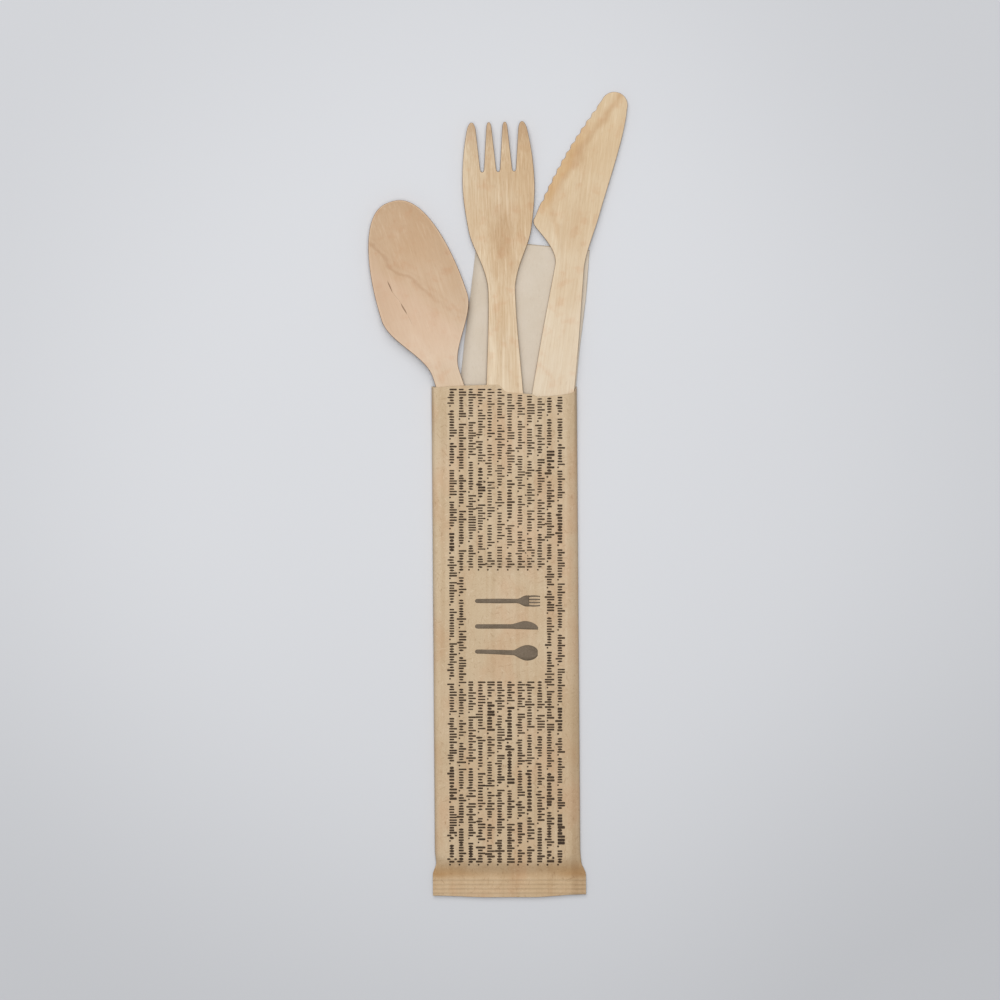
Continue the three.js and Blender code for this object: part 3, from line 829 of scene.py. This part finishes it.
def make_sleeve(kraft):
    """The sleeve: the outer wall from the seal to the mouth, the rim, and the inner wall back to where the
    seal begins, closed flat at both ends, with the back seam as a flat strip underneath."""
    ring = 2 * PANEL - 2
    outer_rows = spaced((BOTTOM, BOTTOM + 8.4, SHOULDER + 3, MOUTH - 5, MOUTH), (44, 30, 190, 10))
    inner_rows = spaced((SEAL_TOP + 0.4, SHOULDER + 3, MOUTH - 5, MOUTH), (16, 90, 10))
    outer = tube(outer_rows, 0.0).reshape(-1, 3)
    inner = tube(inner_rows, PAPER).reshape(-1, 3)
    start = len(outer)
    faces = grid_faces(len(outer_rows), ring, 0, True).tolist()
    faces += grid_faces(len(inner_rows), ring, start, True)[:, ::-1].tolist()
    last_outer = (len(outer_rows) - 1) * ring + np.arange(ring)
    last_inner = start + (len(inner_rows) - 1) * ring + np.arange(ring)
    rim = np.stack([last_outer, np.roll(last_outer, -1), np.roll(last_inner, -1), last_inner], -1)
    faces += rim.tolist() + flat_cap(ring, PANEL, 0, True) + flat_cap(ring, PANEL, start, False)
    seam_points, seam_faces = back_seam()
    faces += (seam_faces + start + len(inner)).tolist()
    points = np.concatenate([outer, inner, seam_points])
    return new_piece("kraft_sleeve", points, faces, kraft, "paper_sleeve")


def back_seam():
    """The back seam: a flat strip twice the paper's thickness under the back panel's middle, from just inside
    the sealed edge to just short of the mouth."""
    y = np.linspace(BOTTOM + 0.9, MOUTH - 0.3, 90)
    rel = np.linspace(-BACK_SEAM["half"], BACK_SEAM["half"], 11)
    x = sleeve_mid(y)[:, None] + rel
    rows = np.repeat(y[:, None], len(rel), 1)
    top = back_z(x, rows) - 0.01
    plan = np.stack([x, rows], -1).reshape(-1, 2)
    top = top.reshape(-1)
    return closed_sheet(plan, grid_faces(len(y), len(rel)), top, top - (BACK_SEAM["layers"] - 0.02))


# ---------------------------------------------------------------- print

INK = 0.035  # how far the ink stands over the paper, drawn thicker than it is


def on_paper(x, y):
    """Height for ink: the highest that the front panel comes at a place and 0.3 mm off it on four sides."""
    return np.max([front_z(x + i, y + j) for i, j in ((0, 0), (0.3, 0), (-0.3, 0), (0, 0.3), (0, -0.3))], 0)


def slabs(outlines):
    """Closed flat slabs on the front panel. outlines holds polygons with the same number of corners, as an
    array (slab, corner, xy) that runs anticlockwise; each corner's height is the paper's there."""
    count, corners, _ = outlines.shape
    x, y = outlines[..., 0], outlines[..., 1]
    z = on_paper(x, y)
    upper = np.stack([x, y, z + INK], -1)
    lower = np.stack([x, y, z - INK], -1)
    points = np.concatenate([upper, lower], 1).reshape(-1, 3)
    first = (np.arange(count) * 2 * corners)[:, None]
    c = np.arange(corners)
    faces = (first + c).tolist() + (first + corners + c[::-1]).tolist()
    nxt = np.roll(c, -1)
    sides = np.stack([first + nxt, first + c, first + c + corners, first + nxt + corners], -1)
    return points, faces + sides.reshape(-1, 4).tolist()


BAR = np.array([(-1, -0.55), (-0.86, -1), (0.86, -1), (1, -0.55), (1, 0.55), (0.86, 1), (-0.86, 1), (-1, 0.55)])
LENS = np.array([(-1, 0), (-0.66, -0.7), (0, -1), (0.66, -0.7), (1, 0), (0.66, 0.7), (0, 1), (-0.66, 0.7)])


def marks(rows):
    """Eight-cornered marks for slabs(). A row is (x, y, half length across the line, half thickness, tilt in
    degrees, 1 for a lens or 0 for a bar with cut corners)."""
    x, y, half, thick, tilt, lens = np.array(rows, float).T
    shape = np.where(lens[:, None, None] > 0, LENS, BAR)
    along, off = shape[..., 0] * half[:, None], shape[..., 1] * thick[:, None]
    c, s = np.cos(np.radians(tilt))[:, None], np.sin(np.radians(tilt))[:, None]
    return np.stack([x[:, None] + along * c - off * s, y[:, None] + along * s + off * c], -1)


LINE_X = [-17.1, -13.6, -10.05, -6.5, -3.05, 0.65, 4.35, 8.2, 11.75, 15.55, 19.1, 23.05]
TEXT_TOP, TEXT_LOW = 39.2, -137.6
WINDOW_TOP, WINDOW_LOW = -28.0, -69.5
GROUPS = (6, 5, 6, 6, 4, 5, 5, 7, 8, 7, 10, 7, 8, 5, 4)
PICTURE_LEFT = -8.5
STEP = 0.97  # from one mark to the next in a group


def print_line(rng, x, top, low, first, heavy):
    """One line of print down the sleeve, from top to low: groups of short marks side by side, each group
    ended by a dot. A mark is a bar or a lens, and some bars reach over or under the line. The line is
    stretched at the end so that its last dot comes at low."""
    rows = []
    at, group = 0.0, first
    while top - low - at > 5:
        bold = 1.36 if rng.random() < 0.14 else 1.0
        for _ in range(int(1.7 * GROUPS[group % len(GROUPS)])):
            if top - low - at < 1.5 * STEP:
                break
            thick = 0.3 * heavy * bold * rng.uniform(0.86, 1.12) * (1 + 0.16 * smooth(-100, -132, top - at))
            above = 0.5 if rng.random() < 0.26 else 0.0
            below = 0.4 if rng.random() < 0.08 else 0.0
            lens = 1 if rng.random() < 0.55 and not above else 0
            lean = rng.uniform(-5, 5) if lens else 0
            half = 0.94 * rng.uniform(0.9, 1.04) + above + below
            rows.append((x + above - below, at, half, thick * (1.18 if lens else 0.92), lean, lens))
            at += STEP * rng.uniform(0.92, 1.1) * (1.16 if bold > 1 else 1.0)
        group += 1
        rows.append((x - 0.68, at + 0.12, 0.36 * bold**0.5, 0.34 * bold**0.5, 0, 1))
        last = at
        at += rng.uniform(1.1, 1.8) + 0.4
    stretch = (top - low - 0.3) / (last + 0.12)
    return [(r[0], top - r[1] * stretch, *r[2:]) for r in rows]


def make_print(text_ink, picture_ink):
    """The print: twelve lines down the sleeve, eight of them broken by a window that holds a small fork,
    knife and spoon lying across, all as thin slabs of ink."""
    rng = np.random.default_rng(7)
    rows = []
    for i, x in enumerate(LINE_X):
        spans = [(TEXT_TOP, TEXT_LOW)]
        if 2 <= i <= 9:
            spans = [(TEXT_TOP, WINDOW_TOP), (WINDOW_LOW, TEXT_LOW)]
        for top, low in spans:
            top = min(top, float(through(FRONT_EDGE, np.array(x))) - 0.9)
            rows += print_line(rng, x, top, low, int(rng.integers(15)), 0.97 if low > WINDOW_LOW else 1.12)
    points, faces = slabs(marks(rows))
    text = new_piece("printed_lines", points, faces, text_ink)
    text.data.polygons.foreach_set("use_smooth", np.zeros(len(text.data.polygons), bool))

    def picture(lower, upper):
        """A printed shape lying across the sleeve, between two edges given as (x, y) from left to right."""
        plan, quads = between(lower[::-1], upper[::-1], 5)
        z = on_paper(*plan.T)
        return closed_sheet(plan, quads, z + INK, z - INK)

    def stick(x, start, end):
        """Half-height of a picture's handle, with a round start."""
        return quarter(1 - np.clip((x - start) / 0.9, 0, 1)) * lerp(0.76, 1.0, (x - start) / (end - start))

    def stations(end, steps, final=()):
        """Places along a picture, close together at its round start."""
        run = np.linspace(PICTURE_LEFT + 1.4, end, steps)
        return np.concatenate([PICTURE_LEFT + np.array([0.02, 0.12, 0.3, 0.55, 0.9]), run, final])

    fork_y, knife_y, spoon_y = -39.3, -48.75, -58.1
    shapes = []
    x = stations(11.6, 36)
    half = stick(x, PICTURE_LEFT, 11) * lerp(1, 0.85, smooth(0, 7, x)) + 1.22 * smooth(7.2, 10.5, x)
    shapes.append((x, fork_y - half, fork_y + half))
    for k, bow in ((-1.5, -0.16), (-0.5, 0), (0.5, 0), (1.5, 0.16)):
        x = np.linspace(11.5, 15.7, 8)
        mid = fork_y + k * 1.1 + bow * np.sin((x - 11.5) / 4.2 * math.pi)
        half = 0.33 - 0.09 * smooth(13, 15.7, x)
        shapes.append((x, mid - half, mid + half))
    tip = 15.15
    x = stations(11.0, 32, tip - 4.1 * np.cos(np.linspace(0.1, math.pi / 2 - 0.05, 16)))
    start = quarter(1 - np.clip((x - PICTURE_LEFT) / 0.9, 0, 1))
    low = knife_y - 0.82 * start - 0.35 * smooth(2, 14, x)
    high = knife_y + 0.82 * start + 1.2 * smooth(4.5, 10.2, x)
    high = low + (high - low) * quarter(np.maximum(0, x - 9.6) / (tip - 9.6))
    shapes.append((x, low, np.maximum(high, low + 0.02)))
    x = stations(8.0, 28, 15.1 - 7.0 * np.cos(np.linspace(0.06, math.pi / 2 - 0.04, 22)))
    egg = np.where(x < 10.9, smooth(3.6, 10.9, x) ** 0.85, quarter((x - 10.9) / 4.2))
    half = np.where(x < 10.9, np.maximum(stick(x, PICTURE_LEFT, 13), 2.9 * egg), 2.9 * egg)
    mid = spoon_y - 0.45 * smooth(-8, 10, x)
    shapes.append((x, mid - half, mid + half))
    shapes = [(np.column_stack([x, low]), np.column_stack([x, high])) for x, low, high in shapes]
    points, faces = np.zeros((0, 3)), []
    for lower, upper in shapes:
        some_points, some_faces = picture(lower, upper)
        faces += (some_faces + len(points)).tolist()
        points = np.concatenate([points, some_points])
    new_piece("printed_pictures", points, faces, picture_ink)


# ---------------------------------------------------------------- napkin

def make_napkin(tissue):
    """The napkin: a 330 mm square folded once along and three times across, sixteen layers. Across, the cloth
    runs to and fro in eight passes with a half-round fold between them; along, it runs out, turns over at
    the outer end and comes back half a pitch away."""
    passes, width, length, thick = 8, 42.0, 165.0, 1.3
    pitch = thick / passes
    straight = width - pitch - 0.6
    flat_steps, fold_steps = 12, 5
    passage = []  # across and up, then the cloth's normal across and up
    for k in range(passes):
        way = 1 if k % 2 == 0 else -1
        s = np.linspace(-0.5, 0.5, flat_steps)
        passage.append(np.array([way * s * straight, k * pitch + 0 * s, 0 * s, 0 * s + way]))
        if k < passes - 1:
            a = np.linspace(-math.pi / 2, math.pi / 2, fold_steps + 2)[1:-1]
            across, up = np.cos(a), np.sin(a)
            passage.append(np.array([way * (straight / 2 + pitch / 2 * across),
                                     k * pitch + pitch / 2 + pitch / 2 * up, -way * across, -way * up]))
    px, pz, nx, nz = np.concatenate(passage, 1)
    run = np.append(np.linspace(0, length - 0.55, 56), length)
    turn = np.linspace(-math.pi / 2, math.pi / 2, 5)[1:-1]
    gap = pitch / 4
    along = np.concatenate([run, length + gap * np.cos(turn), run[::-1]])
    aside = np.concatenate([np.full(len(run), -gap), gap * np.sin(turn), np.full(len(run), gap)])
    x = px + nx * aside[:, None]
    z = pz + nz * aside[:, None]
    y = np.repeat(along[:, None], len(px), 1)
    loose = smooth(0, thick, z)
    x = x + 0.25 * ripple(y, z * 12, 21, 60, 4) * loose + 0.12 * np.sign(x) * ripple(y * 0.4, z * 9, 23, 3, 3)
    points = np.stack([x, y - length, z], -1).reshape(-1, 3)
    points = turned(points, LEAN["napkin"])
    low, high = box_of("napkin")
    points[:, 0] += high[0] - points[:, 0].max()
    points[:, 1] += high[1] - points[:, 1].max()
    inner = sleeve_mid(points[:, 1]) - sleeve_width(points[:, 1]) / 2 + 0.9
    points[:, 0] -= (0.5 + 0.8 * smooth(88, 50, points[:, 1])) * smooth(2, -8, points[:, 0])
    points[:, 0] += 0.5 * smooth(14, 24, points[:, 0]) * np.exp(-((points[:, 1] - 74) / 14) ** 2)
    points[:, 0] += np.maximum(0, inner - points[:, 0]) * 0.97
    x, y = points[:, 0], points[:, 1]
    level = low[2] + 0.05 - 0.3 * smooth(MOUTH, high[1], y)
    level = level + 0.05 * ripple(x, y, 31, 34, 5) * smooth(-60, 60, y)
    # the lower layers ride up over the rounded inside corners of the sleeve's back panel
    lift = np.maximum(0, back_z(x, y) + PAPER + 0.06 - (level - gap)) * smooth(MOUTH + 12, MOUTH + 4, y)
    points[:, 2] += level + lift * (1 - np.clip(z.reshape(-1) / thick, 0, 1))
    faces = grid_faces(len(along), len(px))
    napkin = new_piece("folded_napkin", points, faces, tissue, "napkin")
    # marks the outer fold, where the tissue finish paints shade
    attribute(napkin, "fold", np.repeat(np.where(along > length - 0.3, 1.0, 0.0), len(px)))
    wall = napkin.modifiers.new("tissue", "SOLIDIFY")
    wall.thickness = 0.03 * MM
    wall.offset = 0


# ---------------------------------------------------------------- paper finishes

def kraft_paper():
    """Unbleached kraft: tan, with soft clouds, short pale and dark fibres in two directions, faint machine
    lines along the sleeve, and a fine uneven surface. It carries painted shade: browner and darker at the
    shoulder, where the paper slopes down to the seal, darker towards the seal end, and darker in a strip down
    the right side."""
    finish = Finish("kraft_paper", roughness=0.78, specular=0.25)
    place = finish.coordinates()
    x, y, _ = finish.axes(place)
    finish.start(finish.noise(place, 45, 2).range(0.3, 0.7), (197, 175, 144), (203, 182, 153))
    finish.lay(finish.fibres(place, 0.5, 110, 3), 0.45, 0.7, 0.5, (250, 232, 222))
    for turn, scale, squeeze in ((12, 1500, 0.2), (-40, 1300, 0.25), (75, 1400, 0.2)):
        fibre = finish.fibres(finish.stretched(place, (1, 1, 1), turn), squeeze, scale, 2)
        finish.lay(fibre, 0.6, 0.76, 0.26, (176, 144, 108))
        finish.lay(fibre, 0.38, 0.24, 0.3, (224, 206, 180), "MIX")
    finish.lay(finish.fibres(place, 0.008, 420, 2), 0.4, 0.65, 0.16, (204, 178, 142))
    # painted shade: the paper darker towards the seal end, as the light falls off
    finish.lay(y, -0.02, -0.12, 0.7, (246, 243, 239))
    # painted shade in a strip down the right side, where the tube rounds away
    right_side = x - 0.00265 + y * 0.00735
    finish.lay(right_side, 0.0225, 0.025, 0.75, (236, 232, 228))
    low = (BOTTOM + 9.4) * MM
    # painted shade along the shoulder, darker and browner, strongest towards both sides
    at = y + (finish.noise(place, 60, 2) - 0.5) * 0.004
    shoulder_shade = at.range(low - 0.0022, low + 0.0006) * at.range(low + 0.0062, low + 0.0008)
    shoulder_shade *= abs(x - 0.0042).range(0.006, 0.026, 0.5, 1.0)
    finish.tint(shoulder_shade * 0.75, (222, 196, 158))
    finish.lay(y, low + 0.001, low - 0.001, 0.55, (249, 240, 228))
    fleck = finish.noise(place, 3200, 2)
    finish.lay(fleck, 0.35, 0.7, 0.15, (190, 166, 134))
    finish.bump(fleck, 0.00002, 0.6)
    finish.bump(finish.noise(place, 330, 3, 0.5), 0.00006, 0.6)
    return finish.done()


def ink(name, colour, wear_and_highlight):
    """Brown ink that sinks into the paper unevenly."""
    finish = Finish(name, roughness=0.7, specular=0.25)
    place = finish.coordinates()
    finish.start(finish.noise(place, 1500, 3).range(0.4, 0.72, 0.0, 0.45), colour, wear_and_highlight)
    broad = finish.noise(place, 120, 2).range(0.35, 0.65, 0.0, 0.3)
    finish.bump(finish.noise(place, 2600, 2), 0.00002, 0.6)
    finish.tint(broad, wear_and_highlight, "MIX")
    return finish.done()


def tissue_paper():
    """Unbleached tissue: pale brown, faintly mottled by its fibres, with a fine soft crepe across it, and a
    darker line of painted shade along the fold at its end."""
    finish = Finish("napkin_tissue", roughness=0.95, specular=0.1)
    place = finish.coordinates(LEAN["napkin"])
    finish.start(finish.noise(place, 60, 2).range(0.3, 0.7), (202, 189, 171), (207, 195, 179))
    fibre = finish.noise(finish.stretched(place, (1, 0.4, 1), 25), 1700, 2)
    finish.lay(fibre, 0.55, 0.75, 0.1, (196, 178, 152))
    finish.lay(fibre, 0.42, 0.25, 0.15, (226, 216, 200), "MIX")
    # painted shade along the napkin's folded end
    finish.lay(finish.read("fold"), 0.2, 0.9, 0.6, (176, 160, 134))
    finish.bump(finish.noise(finish.stretched(place, (0.25, 1, 1)), 2400, 2), 0.00004, 0.7)
    finish.bump(finish.noise(place, 300, 2), 0.00006, 0.5)
    return finish.done()


# ---------------------------------------------------------------- the pack

make_spoon()
make_fork()
make_knife()
sleeve = make_sleeve(kraft_paper())
make_print(ink("text_ink", (48, 33, 18), (86, 66, 44)), ink("picture_ink", (99, 85, 69), (130, 115, 98)))
make_napkin(tissue_paper())


# ---------------------------------------------------------------- floor, light and camera

def make_floor():
    """A flat square floor of pale grey with a painted pool of light: a little brighter round the pack than
    beyond it, and least so on the near and the right side."""
    finish = Finish("pale_floor", roughness=0.9, specular=0.1)
    x, y, _ = finish.axes(finish.coordinates())
    # painted light falloff: darker away from the pack, most on the near and the right side
    distance = finish.math("SQRT", x * x + y * y)
    shade = distance.range(0.1, 0.25, 0.0, 0.5) + y.range(0.0, -0.2, 0.0, 0.38)
    shade = finish.math("ADD", shade, x.range(0.02, 0.15, 0.0, 0.2), clamp=True)
    finish.start(shade, (209, 210, 213), (188, 189, 192))
    size = 3.0
    mesh = bpy.data.meshes.new("floor")
    corners = [(-size, -size, 0), (size, -size, 0), (size, size, 0), (-size, size, 0)]
    mesh.from_pydata(corners, [], [(0, 1, 2, 3)])
    mesh.materials.append(finish.done())
    placed("floor", mesh)


def make_light(name, place, aim, size, power):
    """A square soft box at a place, in metres, that looks at a point."""
    data = bpy.data.lights.new(name, "AREA")
    data.size, data.energy = size, power
    lamp = placed(name, data)
    lamp.location = place
    away = np.array(place, float) - np.array(aim, float)
    across = math.hypot(away[0], away[1])
    lamp.rotation_euler = (math.atan2(across, away[2]), 0, math.atan2(away[0], -away[1]) if across else 0)


def make_camera():
    """A camera straight over the pack."""
    data = bpy.data.cameras.new("camera")
    sensor, height, view = 36, 2.4, 0.372
    data.type, data.sensor_width, data.lens = "PERSP", sensor, sensor * height / view
    camera = placed("camera", data)
    camera.location = (0.0008, -0.0018, height)
    bpy.context.scene.camera = camera


make_floor()
make_light("soft_box", (-0.17, 0.8, 1.25), (0, 0.02, 0), 1.1, 9.5)
make_light("ceiling", (0.0, 0.05, 2.9), (0, 0.05, 0), 1.3, 44.5)
world = bpy.data.worlds.new("soft_room")
world.use_nodes = True
world.node_tree.nodes["Background"].inputs["Color"].default_value = (0.95, 0.97, 1.0, 1)
world.node_tree.nodes["Background"].inputs["Strength"].default_value = 0.3
bpy.context.scene.world = world
bpy.context.scene.view_settings.view_transform = "Standard"
make_camera()
